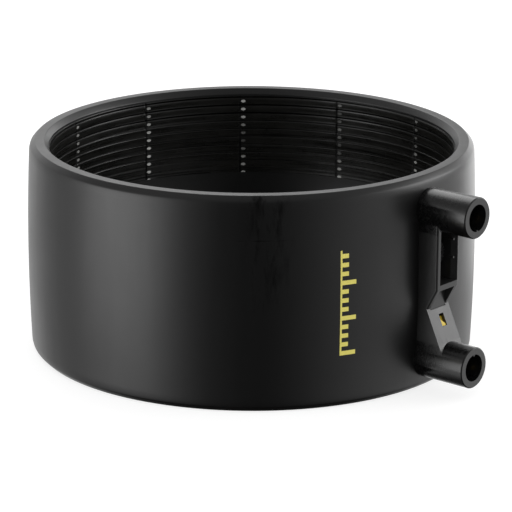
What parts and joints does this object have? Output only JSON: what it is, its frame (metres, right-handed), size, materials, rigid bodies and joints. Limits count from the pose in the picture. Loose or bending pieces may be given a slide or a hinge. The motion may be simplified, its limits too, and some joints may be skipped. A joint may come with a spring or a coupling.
{
  "type": "electrofusion coupler",
  "caption": "Black electrofusion sleeve for a plastic pipe, with heating wire wound inside the bore and two shrouded weld terminals joined by a fuse bay and indicator ramp.",
  "frame": {"origin": "centre of the bore, half way along the sleeve", "axes": "+Z along the bore, the terminals face -Y"},
  "size_m": [0.28, 0.3144, 0.1326],
  "materials": {
    "sleeve": "satin",
    "housing": "satin",
    "winding": "gloss",
    "pin": "satin",
    "feed": "satin",
    "fuse": "gloss",
    "lead": "satin",
    "indicator": "satin"
  },
  "bodies": {
    "root": {"sleeve_body": "sleeve", "upper_winding": "winding", "lower_winding": "winding", "winding_link": "winding", "upper_feed_wire": "feed", "lower_feed_wire": "feed", "terminal_housing": "housing", "upper_terminal_pin": "pin", "lower_terminal_pin": "pin", "thermal_fuse": "fuse", "upper_fuse_lead": "lead", "lower_fuse_lead": "lead", "fusion_indicator": "indicator"}
  },
  "joints": []
}
